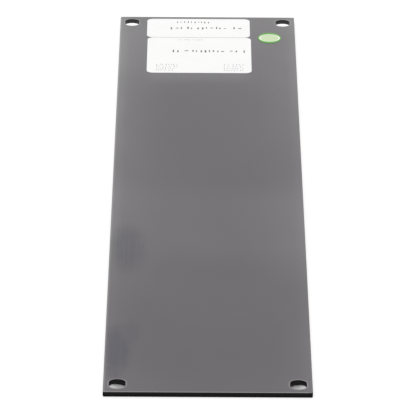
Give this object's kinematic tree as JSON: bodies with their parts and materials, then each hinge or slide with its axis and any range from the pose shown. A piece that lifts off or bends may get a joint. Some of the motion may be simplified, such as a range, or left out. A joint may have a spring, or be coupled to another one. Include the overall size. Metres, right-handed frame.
{
  "type": "rack blanking panel",
  "caption": "Flat black steel plate that covers an empty space in a 19 inch rack, slotted near its corners, with paper labels and an oval sticker at one end.",
  "frame": {"origin": "middle of the back face, which lies on the surface or against the rack's rails", "axes": "+X along the 482.6 mm length towards the bare end, +Y across the height in the rack, +Z out of the front face"},
  "size_m": [0.4826, 0.0882, 0.0023],
  "materials": {
    "panel_coat": "satin black coat",
    "label_paper": "matt white paper",
    "sticker_vinyl": "satin pale green print with a darker green rim"
  },
  "bodies": {
    "root": {"blanking_panel": "panel_coat", "upper_label": "label_paper", "lower_label": "label_paper", "oval_sticker": "sticker_vinyl"}
  },
  "joints": []
}
